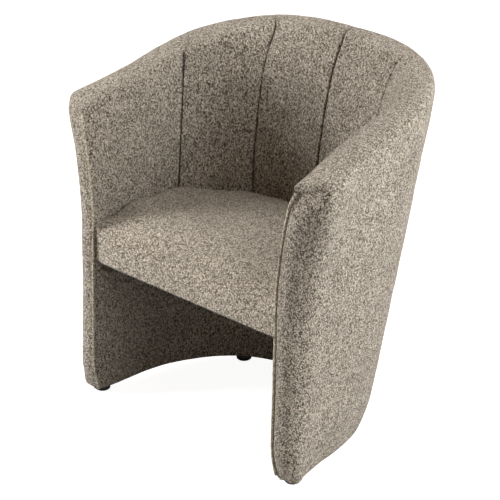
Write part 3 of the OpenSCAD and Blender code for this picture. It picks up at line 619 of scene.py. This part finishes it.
class Sheet:
    """All the shell's cloth as one joined surface, cut into its pieces at the end."""

    def __init__(self):
        self.points, self.free, self.push, self.seam = [], [], [], []
        self.faces, self.kind, self.ties, self.edges = [], [], [], []
        self.welt_edge, self.hem_outside, self.hem_inside = [], [], []
        self.count = 0

    def add(self, p, free, push, seam, kind, flip):
        """Adds a grid of points. free is how far each takes part in the rounding, push how far it
        moves along its normal, seam how near a seam is, and kind the piece of each cell."""
        m, n = p.shape[:2]
        index = self.count + np.arange(m * n).reshape(m, n)
        self.count += m * n
        for store, value in ((self.free, free), (self.push, push), (self.seam, seam)):
            store.append(np.broadcast_to(value, (m, n)).ravel())
        self.points.append(p.reshape(-1, 3))
        quads = np.stack([index[:-1, :-1], index[1:, :-1], index[1:, 1:], index[:-1, 1:]], -1).reshape(-1, 4)
        self.faces.append(quads[:, ::-1] if flip else quads)
        self.kind.append(np.broadcast_to(kind, (m - 1, n - 1)).ravel())
        self.edges.append([part.ravel() for part in (index[:-1], index[1:], index[:, :-1], index[:, 1:])])
        return index

    def tie(self, a, b):
        self.ties.append((np.ravel(a), np.ravel(b)))

    def tied(self):
        """For each point, the first of the points that it is tied to."""
        home = np.arange(self.count)
        for _ in range(3):
            for a, b in self.ties:
                home[a] = home[b] = np.minimum(home[a], home[b])
            home = home[home]
        return home

    def rounded(self, p, free, home):
        """The points, moved step by step towards their neighbours along both ways of the grids."""
        ways = []
        for k in (0, 2):
            i = home[np.concatenate([e[k] for e in self.edges])]
            j = home[np.concatenate([e[k + 1] for e in self.edges])]
            i, j = np.concatenate([i, j]), np.concatenate([j, i])
            w = 1 / np.maximum(np.linalg.norm(p[i] - p[j], axis=1), 0.8)
            w[i == j] = 0
            ways.append((i, j, w, np.maximum(np.bincount(i, w, self.count), 1e-9)))
        for _ in range(ROUNDING_STEPS):
            total = 0
            for i, j, w, all_w in ways:
                total = total + np.stack([np.bincount(i, w * p[j, k], self.count) for k in range(3)], 1) \
                    / all_w[:, None]
            p = np.where(free > 0, p + 0.8 * free * (total / 2 - p), p)
        return p

    def join(self):
        """Joins the tied points, rounds the free ones and moves all of them along their normals."""
        home = self.tied()
        self.seam, push = np.concatenate(self.seam)[home], np.concatenate(self.push)[home]
        self.kind, self.faces = np.concatenate(self.kind), home[np.concatenate(self.faces)]
        free = np.concatenate(self.free)[home][:, None]
        p = self.rounded(np.concatenate(self.points)[home], free, home)
        n = self.directions(p)
        rough = 1.1 * lumps(p, 120, 71) + 0.5 * lumps(p, 38, 72) + 0.3 * lumps(p, 11, 73)
        p = p + n * (push + rough * (1 - 0.85 * self.seam))[:, None]
        self.home, self.p = home, p + self.crease(p, n)
        self.normal = self.directions(self.p)

    @staticmethod
    def crease(p, n):
        """The fold across the arm's front under its rounded tip, deeper on the right arm."""
        across = (np.abs(p[:, 0]) - CREASE_IN) / CREASE_WIDE
        height = p[:, 2] - CREASE_Z - CREASE_SLANT * across
        front = soft_step((-n[:, 1] - 0.1) / 0.4) * soft_step((0.95 - across) / 0.3) * (p[:, 1] < 64) \
            * soft_step((across - 0.05) / 0.16)
        strength = np.where(p[:, 0] > 0, 1.0, 0.3) * front
        line, step = np.exp(-(height / 4.2) ** 2), np.exp(-(height / 24) ** 2) * soft_step(-height / 6)
        ridge = np.exp(-((height - 10) / 6) ** 2)
        return -n * (strength * (6.5 * line + 8.0 * step - 3.6 * ridge))[:, None]

    def directions(self, p):
        """Unit normals of the joined points."""
        a, b, c, d = (p[self.faces[:, k]] for k in range(4))
        n = np.cross(c - a, d - b)
        total = np.stack([np.bincount(self.faces.ravel(), np.repeat(n[:, k], 4), self.count)
                          for k in range(3)], 1)
        return unit(total)

    def cut(self, name, kind):
        """One piece of the sheet as a mesh object, with the joined surface's normals."""
        faces = self.faces[self.kind == kind]
        faces = faces[[len(set(f)) > 2 for f in faces.tolist()]]
        used, local = np.unique(faces, return_inverse=True)
        local = local.reshape(-1, 4)
        quads = [list(dict.fromkeys(f)) for f in local.tolist()]
        obj = piece(name, self.p[used] - [0, CENTRE_Y, 0], quads)
        obj.data.normals_split_custom_set_from_vertices(self.normal[used].tolist())
        mark_sewn(obj, self.seam[used])
        return obj


# the sheet's pieces, in the order of their kinds, with the CAD nodes that each stands for
PARTS = {
    "arm_inside_left": ["arm_panel_left", "nose_foam_left"],
    "back_outer_left": ["back_panel_outer_left"],
    "back_inner_left": ["back_panel_inner_left"],
    "back_inner_right": ["back_panel_inner_right"],
    "back_outer_right": ["back_panel_outer_right"],
    "arm_inside_right": ["arm_panel_right", "nose_foam_right"],
    "outer_shell": ["outer_cover", "shell_foam", "rim_foam"],
    "lower_inside": ["lower_cover"],
}
OUTER, LOWER = 6, 7
OUTER_FILL, INNER_FILL, SEAT_FILL = 0.4, 0.75, 0.8
TIP_STILL = 22.0  # the rounding leaves the tip's corner alone within about this distance
HIGH_FROM_RIM = 45.0  # it starts this far under the rim
OUT_LOW = 20.0  # the outside's last rows are this much lower than the rim's edge


def near_tip(p, corner):
    """How freely points take part in the rounding round the sharp corner of the arm's tip."""
    return mix(0.15, 1, soft_step(np.linalg.norm(p - corner, axis=-1) / TIP_STILL))


def columns():
    """The inside's columns, and where in them the arm's root and the three panels' ends are."""
    runs = [spread(-1, 0, False, False, 2.4), spread(0, 1, False, True, 3.4),
            spread(1, SEAM_C, True, True, 3.4), spread(SEAM_C, 2, True, True, 3.4)]
    ends = np.cumsum([len(r) - 1 for r in runs])
    return np.concatenate([runs[0]] + [r[1:] for r in runs[1:]]), ends[0], [0, *ends[1:]]


def panel_relief(k, s, over, above, to_rim):
    """Push and nearness to a seam for panel k of one half, from s, the distance across it:
    padded in the middle, stitched down at its sides above the seat, the seams fading over the rim; the cloth
    is darkened near the seams as painted shade."""
    to_low, to_high = s - s[0], s[-1] - s
    fades = []
    for reach in ((0.0, 0.0), (0.0, 0.15), (0.15, 0.3))[k]:
        fades.append(1 - soft_step((over - reach) / (0.12 + reach)))
    if k == 0:
        d, fade = to_high, fades[1]
        half, ramp = within(d / 70), soft_step(to_low / 30)
    else:
        d, fade = np.minimum(to_low, to_high), np.where(to_low < to_high, *fades)
        half, ramp = within(d / (to_high[0] / 2)), 1
    sewn = fade * above * np.ones_like(d)
    swell = 2.4 * (1 - (1 - half) ** 2) * (1 - soft_step(over / 0.4)) * ramp
    value = swell - SEAM_DEPTH * roundover(d, SEAM_REACH) * sewn \
        + 0.7 * sewn * np.exp(-((d - RIDGE_AT) / 1.8) ** 2)
    if k == 0:  # the arm panel sinks a little beside the welt
        value = value - 3.6 * within(1 - to_low / 17) ** 2 * to_rim * soft_step(to_low / 3)
    # the second value is where the cloth is darkened as painted shade along the seam
    return value, np.exp(-(d / 1.5) ** 2) * sewn


def inside_grid(c, ends):
    """The right half of the inside and the rim: points, freedom, push and nearness to a seam."""
    z = heights(tip_top(c, np.zeros(len(c)))[:, 2])
    x, y = inner_face(c[:, None], z)
    rim_part = tip_top(c[:, None], np.linspace(0, math.pi, RIM_ROWS)[None, :])
    p = np.concatenate([np.stack([x, y, z], -1)[:, :-1], rim_part], 1)
    row = np.arange(p.shape[1])
    rim = len(row) - RIM_ROWS
    under = lengths(p, 1)
    under = np.abs(under - under[:, rim:rim + 1]) * (row < rim)
    over = within((row - rim) / RIM_ROWS)[None, :]
    above = soft_step((row - HEM_ROWS) / 6)[None, :]
    to_rim = (row < rim - 3)[None, :]
    s = lengths(p)
    push, seam = np.zeros(p.shape[:2]), np.zeros(p.shape[:2])
    for k in range(3):
        part = slice(ends[k], ends[k + 1] + 1)
        push[part], near = panel_relief(k, s[part], over, above, to_rim)
        seam[part] = np.maximum(seam[part], near)
    free = np.where(row >= rim, 1.0, soft_step(1 - under / HIGH_FROM_RIM)) * near_tip(p, p[0, rim])
    return p, free, push, seam


def outside_grid(c, tip_rows):
    """The right half of the outside: points, freedom and push."""
    edge = shoulder(c) - OUT_LOW
    last = edge[:, None] + OUT_LOW * np.linspace(0, 1, tip_rows)[None, 1:]
    z = np.concatenate([heights(edge), last], 1)
    x, y = outer_wall(c[:, None], z)
    p = np.stack([x, y, z], -1)
    up = lengths(p, 1)
    down = up[:, -1:] - up
    flat = 1.6 * soft_step(down / 60) * soft_step(up / 60)
    curl = 2.5 * within(1 - (z - HEM) / 34) ** 2 * soft_step((y - 60) / 130)
    return p, soft_step(1 - down / HIGH_FROM_RIM), flat - curl


def front_grid():
    """The right arm's front, from the welt to the outside: points, freedom and push."""
    g = (1 - np.cos(np.linspace(0, math.pi, RIM_ROWS))) / 2
    z = heights(tip_fold(g))
    x, y = arm_front(np.arcsin(within(g))[:, None] + 0 * z, z)
    p = np.stack([x, y, z], -1)
    from_top, from_welt = z[:, -1:] - z, lengths(p)
    swell = 1 - within(1 - from_welt / 28) ** 2
    roll = 8 * swell * (1 - soft_step((from_welt - 22) / 38)) \
        * soft_step((z - HEM) / 60) * soft_step(from_top / 60)
    return p, soft_step(1 - from_top / HIGH_FROM_RIM) * near_tip(p, p[0, -1]), roll


def shell_sheet():
    """The whole shell as a joined sheet, with the welts' edges and the hems of the left and right."""
    sheet = Sheet()
    c, root, ends = columns()
    inside, free, push, seam = inside_grid(c, ends)
    outside, free_out, push_out = outside_grid(c[root:], root + 1)
    front, free_front, push_front = front_grid()
    rows = inside.shape[1]
    rim = rows - RIM_ROWS
    panel = np.repeat([0, 1, 2], np.diff(ends))
    swells = [settle_panel(*span) for span in ((-1, 1), (1, SEAM_C), (SEAM_C, 2))]
    halves = []
    for side in (-1, 1):
        away = [side, 1, 1]
        own = inside.copy()
        for k, swell in enumerate(swells):
            i0, i1 = ends[k], ends[k + 1] + 1
            own[i0:i1, HEM_ROWS:-8] += upsample(swell, i1 - i0, rows - HEM_ROWS - 8)
        order = np.array([0, 1, 2] if side < 0 else [5, 4, 3])
        kind = np.where(np.arange(rows - 1)[None, :] < HEM_ROWS - 1, LOWER, order[panel][:, None])
        a = sheet.add(own * away, free, push, seam, kind, side > 0)
        o = sheet.add(outside * away, free_out, push_out, 0.0, OUTER, side < 0)
        f = sheet.add(front * away, free_front, push_front, 0.0, OUTER, side < 0)
        sheet.tie(a[0, :rim + 1], f[0])
        sheet.tie(a[0, rim:], f[:, -1])
        sheet.tie(a[root:, -1], o[:, -1])
        sheet.tie(a[:root + 1, -1], o[0, -(root + 1):])
        sheet.tie(f[-1], o[0, :f.shape[1]])
        halves.append((a, o))
        sheet.welt_edge.append(a[0, :rim + 1])
        sheet.hem_outside.append(np.concatenate([f[:, 0], o[1:, 0]]))
        sheet.hem_inside.append(a[:, 0])
    for left, right in zip(*halves):
        sheet.tie(left[-1], right[-1])
    sheet.join()
    return sheet


sheet = shell_sheet()


def rolled_hem(halves, reaches):
    """Rows of points that roll a hem round under the shell and back inwards."""
    row = sheet.home[np.concatenate([halves[0], halves[1][::-1][1:]])]
    n = np.pad(sheet.normal[row] * [1, 1, 0], ((6, 6), (0, 0)), "edge")
    inward = -unit(sum(n[k:k + len(row)] for k in range(13)))
    rows = [sheet.p[row] + inward * HEM_ROLL * (1 - math.cos(w)) - [0, 0, HEM_ROLL * math.sin(w)]
            for w in (0, 0.5, 1.0, 1.57)]
    rows += [rows[3] + inward * reach + [0, 0, 0.02 * reach] for reach in reaches]
    return np.stack(rows, 1)


def shell_pieces():
    """Cuts the sheet into its pieces, gives each its material, hides the CAD nodes that each stands for, and
    turns the hems.
    """
    for kind, (name, nodes) in enumerate(PARTS.items()):
        fill = OUTER_FILL if kind == OUTER else INNER_FILL
        finish(sheet.cut(name, kind), shell_cloth, "shell_fabric", *nodes, fill=fill)
    hems = [rolled_hem(sheet.hem_outside, (8, 20)), rolled_hem(sheet.hem_inside, (6, 12))]
    for k, name in enumerate(("hem_return_outside", "hem_return_inside")):
        obj = grid(name, hems[k] - [0, CENTRE_Y, 0], flip=k == 0)
        finish(obj, shell_cloth, "shell_fabric")
    return hems


hems = shell_pieces()

# ---------------- seat
SEAT_FRONT = front_y(SEAT_EDGE) + 1
SEAT_MIDDLE = np.array([0, (SEAT_FRONT + back_y(SEAT_EDGE) - wall_back(SEAT_EDGE)) / 2])
FRONT_HALF_SEAT = float(side_x(np.array(SEAT_FRONT), SEAT_EDGE, False))
SEAT_AROUND, TOP_RINGS, SIDE_RINGS, UNDER_RINGS = 220, 46, 12, 8
SEAT_GAP, SEAT_PRESS = 0.4, 6.5  # clear of the shell at the back, pressed into the arms at the front
OUTLINE_STEP, OUTLINE_Z = 4.0, 380.0


def seat_outline(z):
    """Closed outline of the seat between the arms and the back."""
    c, s = along_wall(0, 2, OUTLINE_Z)
    c = np.interp(np.linspace(0, s[-1], int(round(s[-1] / OUTLINE_STEP)) + 1), s, c)
    x, y = inner_face(c, z)
    ok = y > SEAT_FRONT + 6
    c, x, y = c[ok], x[ok], y[ok]
    x = x - mix(-SEAT_PRESS, SEAT_GAP, soft_step((y - SEAT_FRONT - 8) / 50)) * (c < 1.5)
    fx = float(side_x(np.array(SEAT_FRONT), z, False)) + 7
    right = np.concatenate([[[fx - 3, SEAT_FRONT], [fx - 0.5, SEAT_FRONT + 1], [fx, SEAT_FRONT + 3]],
                            np.stack([x, y], -1)])
    loop = np.concatenate([right, right[::-1][1:] * [-1, 1], right[:1]])
    s = lengths(loop)
    at = np.linspace(0, s[-1], SEAT_AROUND + 1)[:-1]
    return np.stack([np.interp(at, s, loop[:, k]) for k in (0, 1)], -1)


def seat_top(ring, k):
    """Ring k of the seat's top, and the distance of its points from the top's edge."""
    f = 1 - (1 - k / TOP_RINGS) ** 1.15
    xy = SEAT_MIDDLE + (ring - SEAT_MIDDLE) * f
    across, y = np.abs(xy[:, 0]), xy[:, 1]
    to_edge = np.linalg.norm(ring - SEAT_MIDDLE, axis=1) * (1 - f)
    d = within(1 - (y - SEAT_FRONT) / 50)
    square = 1 - 0.85 * within((across / FRONT_HALF_SEAT - 0.7) / 0.3) ** 2
    front = 34 * (1 - np.sqrt(1 - d * d)) * square
    roll = 9 * roundover(to_edge, 11) * soft_step((y - SEAT_FRONT) / 40)
    back = 7 * soft_step((y - 230) / 90) * f ** 2 * np.exp(-(across / 120) ** 2)
    side = 16 * f ** 2 * np.exp(-((across - 262) / 75) ** 2) * soft_step((y - 50) / 70) \
        * (1 - 0.7 * soft_step((y - 230) / 100))
    z = SEAT_EDGE + SEAT_CROWN * (1 - f * f) - roll - front - back + side
    return np.column_stack([xy, z]), to_edge


def seat_rings():
    """The seat's rings of points from its top's middle to its underside's, and their distances
    from the top's edge."""
    ring = seat_outline(SEAT_EDGE)
    rings, depths = map(list, zip(*[seat_top(ring, k) for k in range(1, TOP_RINGS + 1)]))
    edge_z = rings[-1][:, 2]
    for k in range(1, SIDE_RINGS + 1):
        share = k / SIDE_RINGS
        low = seat_outline(mix(SEAT_EDGE, SEAT_BOTTOM, share))
        rings.append(np.column_stack([low, mix(edge_z, SEAT_BOTTOM, share)]))
    inner = rings[-1][:, :2]
    for k in range(1, UNDER_RINGS):
        xy = SEAT_MIDDLE + (inner - SEAT_MIDDLE) * (1 - k / UNDER_RINGS)
        rings.append(np.column_stack([xy, np.full(SEAT_AROUND, SEAT_BOTTOM)]))
    return rings, depths


def seat():
    """The padded seat: a crowned top with a deep rounded front edge and straight sides."""
    n = SEAT_AROUND
    rings, depths = seat_rings()
    p = np.concatenate([[[*SEAT_MIDDLE, SEAT_EDGE + SEAT_CROWN]], *rings,
                        [[*SEAT_MIDDLE, SEAT_BOTTOM]]])
    pairs = [(j, (j + 1) % n) for j in range(n)]
    first, last = 1 + (len(rings) - 1) * n, len(p) - 1
    faces = [(0, 1 + i, 1 + j) for i, j in pairs]
    for a in range(1, first, n):
        faces += [(a + i, a + n + i, a + n + j, a + j) for i, j in pairs]
    faces += [(last, first + j, first + i) for i, j in pairs]
    depth = np.concatenate([[99.0], *depths])
    depth = np.pad(depth, (0, len(p) - len(depth)))
    top = np.arange(len(p)) < 1 + TOP_RINGS * n
    lift = 1.3 * lumps(p, 110, 91) + 0.6 * lumps(p, 40, 92)
    moved = settle(p, faces, ~top | (p[:, 2] < SEAT_BOTTOM + 12), 3.0, 6.0)
    p = p + moved * within((p[:, 2:] - SEAT_BOTTOM) / 60)
    p[:, 2] += np.where(top, lift, 0)
    obj = piece("seat_cushion", p - [0, CENTRE_Y, 0], faces)
    # painted shade along the seat's edge where it meets the arms and the back, none at the front
    mark_sewn(obj, np.exp(-(depth / 11) ** 2) * soft_step((p[:, 1] - SEAT_FRONT - 6) / 20))
    subdivision = obj.modifiers.new("fine", "SUBSURF")
    subdivision.levels = subdivision.render_levels = 1
    final_mesh(obj)
    obj.data.shade_smooth()
    finish(obj, seat_cloth, "seat_fabric", "seat_cover", "seat_foam", fill=SEAT_FILL)


seat()

# ---------------- things along a path
WELT_RADIUS, WELT_SIDES, WELT_TOP = 0.0025, 12, 617.0
STAPLE_SPACING, STAPLE_SIZE = 0.034, (0.0100, 0.0008, 0.0006)


class PathTree(Builder):
    """A node tree that grows something along a line of points, with one size that can be set."""

    def __init__(self, name, size_name, size):
        self.tree = bpy.data.node_groups.new(name, "GeometryNodeTree")
        face = self.tree.interface
        face.new_socket("Geometry", in_out="INPUT", socket_type="NodeSocketGeometry")
        number = face.new_socket(size_name, in_out="INPUT", socket_type="NodeSocketFloat")
        number.default_value = size
        face.new_socket("Geometry", in_out="OUTPUT", socket_type="NodeSocketGeometry")
        start = self.node("NodeGroupInput")
        self.line = self.node("GeometryNodeMeshToCurve", {0: start.outputs[0]}).outputs[0]
        self.key, self.value, self.size = number.identifier, size, start.outputs[1]

    def end(self, shape, material):
        real = self.node("GeometryNodeRealizeInstances", {0: shape})
        paint = self.node("GeometryNodeSetMaterial", {0: real.outputs[0], "Material": material})
        self.node("NodeGroupOutput", {0: paint.outputs[0]})
        return self

    def grow(self, name, points):
        """A mesh object grown along a line of points in mm."""
        obj = piece(name, points, [], edges=[(k, k + 1) for k in range(len(points) - 1)])
        mod = obj.modifiers.new("grow", "NODES")
        mod.node_group = self.tree
        mod[self.key] = self.value
        final_mesh(obj)
        return obj


def cord_tree():
    """Sweeps a round cord along the line."""
    t = PathTree("covered cord", "Cord radius", WELT_RADIUS)
    circle = t.node("GeometryNodeCurvePrimitiveCircle", {"Resolution": WELT_SIDES, "Radius": t.size})
    sweep = t.node("GeometryNodeCurveToMesh", {"Curve": t.line, "Profile Curve": circle.outputs[0],
                                               "Fill Caps": True})
    return t.end(t.node("GeometryNodeSetShadeSmooth", {0: sweep.outputs[0]}).outputs[0], welt_cloth_painted_highlight)


def staple_tree():
    """Puts a row of staples along the line, only their crowns."""
    t = PathTree("row of staples", "Spacing", STAPLE_SPACING)
    places = t.node("GeometryNodeResampleCurve", {"Curve": t.line, "Length": t.size}, mode="LENGTH")
    crown = t.node("GeometryNodeMeshCube", {"Size": STAPLE_SIZE})
    along = t.node("GeometryNodeInputTangent")
    turn = t.node("FunctionNodeAlignRotationToVector", {"Vector": along.outputs[0]}, axis="X")
    put = t.node("GeometryNodeInstanceOnPoints", {"Points": places.outputs[0], "Instance": crown.outputs[0],
                                                  "Rotation": turn.outputs[0]})
    return t.end(put.outputs[0], zinc)


def welts():
    """Covered cords along the inner edges of the arm fronts, their tops tucked into the fold."""
    cord = cord_tree()
    for side, hand, edge in zip((-1, 1), ("left", "right"), sheet.welt_edge):
        path = sheet.p[sheet.home[edge]]
        path = path[path[:, 2] < WELT_TOP]
        tuck_in = soft_step((path[:, 2] - WELT_TOP + 14) / 14)[:, None]
        wave = 0.4 * lumps(path * [side, 0, 1], 9, 95)[:, None]
        path = path + np.array([-1.2 * side, -2.0, 0]) + wave * [side, 0, 0] + tuck_in * [1.5 * side, 4.5, 0]
        finish(cord.grow(f"arm_welt_{hand}", path - [0, CENTRE_Y, 0]), welt_cloth_painted_highlight, "welt_fabric",
               f"welt_{hand}")


def staples():
    """Rows of staples through the turned hems and round the dust cover."""
    row = staple_tree()
    dust_bottom = min(v[2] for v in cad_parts["dust_cover"].bound_box) * 1000
    ring = SEAT_MIDDLE + (seat_outline(SEAT_BOTTOM) - SEAT_MIDDLE) * 0.93
    ring = np.column_stack([ring, np.full(len(ring), dust_bottom)])
    for name, path in (("hem_staples_outside", mix(hems[0][:, 4], hems[0][:, 5], 0.4)),
                       ("hem_staples_inside", mix(hems[1][:, 4], hems[1][:, 5], 0.3)),
                       ("dust_cover_staples", np.concatenate([ring, ring[:1]]))):
        obj = row.grow(name, path - [0, CENTRE_Y, 0.1])
        obj.data.shade_flat()
        finish(obj, zinc, "screw_steel")


welts()
staples()

# ---------------- frame pieces behind the arm fronts
POST_HEIGHTS = [30.6, 57, 102, 150, 196, 250, 308, 360, 411, 458, 500, 540, 575, 606]
POST_IN, POST_WIDE, POST_DEEP = 7.5, 28.0, 34.0


def front_posts():
    """The posts behind the arm fronts, their outer front corners planed off under the cloth."""
    for side, hand in ((-1, "left"), (1, "right")):
        p = []
        for z in POST_HEIGHTS:
            rx, ry = outer_wall(0.0, z)
            back_x = float(side_x(root_y(z) + 40, z, True)) - POST_IN
            x, y = front_half(z) - POST_IN, root_y(z)
            p += [[x - POST_WIDE, y + 1, z], [x - 17, y + 2, z], [float(rx) - 10, ry + 8, z],
                  [back_x, y + POST_DEEP, z], [back_x - 14.5, y + POST_DEEP, z], [x - POST_WIDE, y + 12, z]]
        n = len(p)
        faces = [(j + k, j + (k + 1) % 6, j + 6 + (k + 1) % 6, j + 6 + k)
                 for j in range(0, n - 6, 6) for k in range(6)]
        faces += [tuple(range(5, -1, -1)), tuple(range(n - 6, n))]
        p = np.array(p, float) * [side, 1, 1] - [0, CENTRE_Y, 0]
        finish(piece(f"front_post_{hand}", p, faces, side < 0), pine, "frame_wood", f"arm_post_{hand}")


def outer_board():
    """The thin hardboard that wraps the frame under the outer cloth."""
    c = np.linspace(0.07, 2, 90)
    z = mix(HEM + 4, shoulder(c)[:, None] - 6, np.linspace(0, 1, 70)[None, :])
    p = np.stack([*outer_wall(c[:, None], z), z], -1)
    n = unit(np.cross(np.gradient(p, axis=0), np.gradient(p, axis=1)) * [1, 1, 0])
    skins = []
    for depth in (4.5, 7.0):
        half = p - n * depth
        skins.append(np.concatenate([half * [-1, 1, 1], half[::-1][1:]]))
    loop = np.concatenate([skins[0], skins[1][::-1], skins[0][:1]])
    finish(grid("outer_board", loop - [0, CENTRE_Y, 0]), hardboard, "hardboard", "outer_lining")


front_posts()
outer_board()

# ---------------- kept CAD nodes
FINISHES = {
    pine: ["side_post_left", "side_post_right", "back_post_left",
           "back_post_right", "back_post_center", "seat_blocks", "top_rail"],
    # the cleats take the beech darkened as painted shade
    shade_darkened: ["seat_cleats"],
    plywood: ["base_board", "seat_board"],
    hardboard: ["inner_lining"],
    felt: ["spring_pad"], dust_cloth: ["dust_cover"],
    spring_steel: ["zigzag_springs", "spring_clips"], zinc: ["glide_screws", "seat_screws"],
    glide_black: ["glide_front_left", "glide_front_right", "glide_rear_left", "glide_rear_right"],
}
for material, names in FINISHES.items():
    for name in names:
        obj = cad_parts[name]
        for place in obj.material_slots:
            place.material = material
        if not obj.material_slots:
            obj.data.materials.append(material)

# ---------------- floor, light and camera
FLOOR_HALF = 12000.0
LIGHT_AIM = Vector((0, 0, 0.4))
# azimuth from the front, height, distance, and the light's own width and height in metres; watts
LIGHTS = {
    "left softbox": (-50, 1.3, 2.6, 1.2, 1.8, 130),
    "right softbox": (115, 1.3, 2.6, 1.2, 1.8, 80),
    "right edge softbox": (80, 1.3, 2.6, 1.2, 1.8, 24),
    "high softbox": (120, 2.6, 1.8, 1.2, 1.8, 40),
    "back softbox": (225, 3.0, 1.2, 1.6, 1.6, 20),
    "fill softbox": (45, 1.6, 3.2, 1.2, 1.8, 10),
}
# the photo's viewpoint, fitted to its outlines
AZIMUTH, ELEVATION, DISTANCE = math.radians(44.36), math.radians(23.85), 4.1456
TARGET = Vector((-0.0978, 0.0400, 0.2918))
FOCAL_SHARE, SENSOR = 1979.1 / 500, 36


def around(azimuth, distance, height):
    """A point at an azimuth from the front, a level distance from the origin, at a height."""
    return Vector((math.sin(azimuth) * distance, -math.cos(azimuth) * distance, height))


def floor():
    """The pale studio floor, which the camera sees as white, as in a catalogue photograph."""
    n = Nodes("pale floor")
    tone = n.noise(n.places(), 3.0, 2.0)["Fac"]
    n.done(n.ramp(tone, [(0.3, (0.39, 0.39, 0.39)), (0.7, (0.41, 0.41, 0.41))]), 0.9,
           specular_ior_level=0.0, emission_color=(1, 1, 1, 1))
    seen = n.node("LightPath").outputs["Is Camera Ray"]
    n.feed(n.shader.inputs["Emission Strength"], n.maths("MULTIPLY", seen, 0.93))
    corners = FLOOR_HALF * np.array([[-1, -1, 0], [1, -1, 0], [1, 1, 0], [-1, 1, 0]])
    obj = piece("floor", corners, [(0, 1, 2, 3)])
    obj.data.materials.append(n.material)


def backdrop():
    """A faint warm light from all round, which the camera sees as white."""
    world = studio.world = studio.world or bpy.data.worlds.new("studio")
    world.use_nodes = True
    nodes, link = world.node_tree.nodes, world.node_tree.links.new
    seen = nodes.new("ShaderNodeLightPath").outputs["Is Camera Ray"]
    for socket, kind, first, result, light, shown in (
            ("Color", "RGBA", 6, 2, (1, 0.42, 0.12, 1), (1, 1, 1, 1)),
            ("Strength", "FLOAT", 2, 0, 0.12, 0.95)):
        choice = nodes.new("ShaderNodeMix")
        choice.data_type = kind
        choice.inputs[first].default_value, choice.inputs[first + 1].default_value = light, shown
        link(seen, choice.inputs[0])
        link(choice.outputs[result], nodes["Background"].inputs[socket])


def softbox(name, azimuth, height, distance, width, tall, power):
    light = bpy.data.lights.new(name, "AREA")
    light.shape, light.size, light.size_y, light.energy = "RECTANGLE", width, tall, power
    obj = placed(name, light)
    obj.location = around(math.radians(azimuth), distance, height)
    obj.rotation_euler = (LIGHT_AIM - obj.location).to_track_quat("-Z", "Y").to_euler()


def camera():
    back = around(AZIMUTH, math.cos(ELEVATION), math.sin(ELEVATION))
    data = bpy.data.cameras.new("camera")
    data.lens, data.sensor_width, data.sensor_fit = SENSOR * FOCAL_SHARE, SENSOR, "HORIZONTAL"
    obj = placed("camera", data)
    obj.location = TARGET + back * DISTANCE
    obj.rotation_euler = back.to_track_quat("Z", "Y").to_euler()
    studio.camera = obj


floor()
for name, values in LIGHTS.items():
    softbox(name, *values)
backdrop()
studio.view_settings.view_transform = "Standard"
camera()
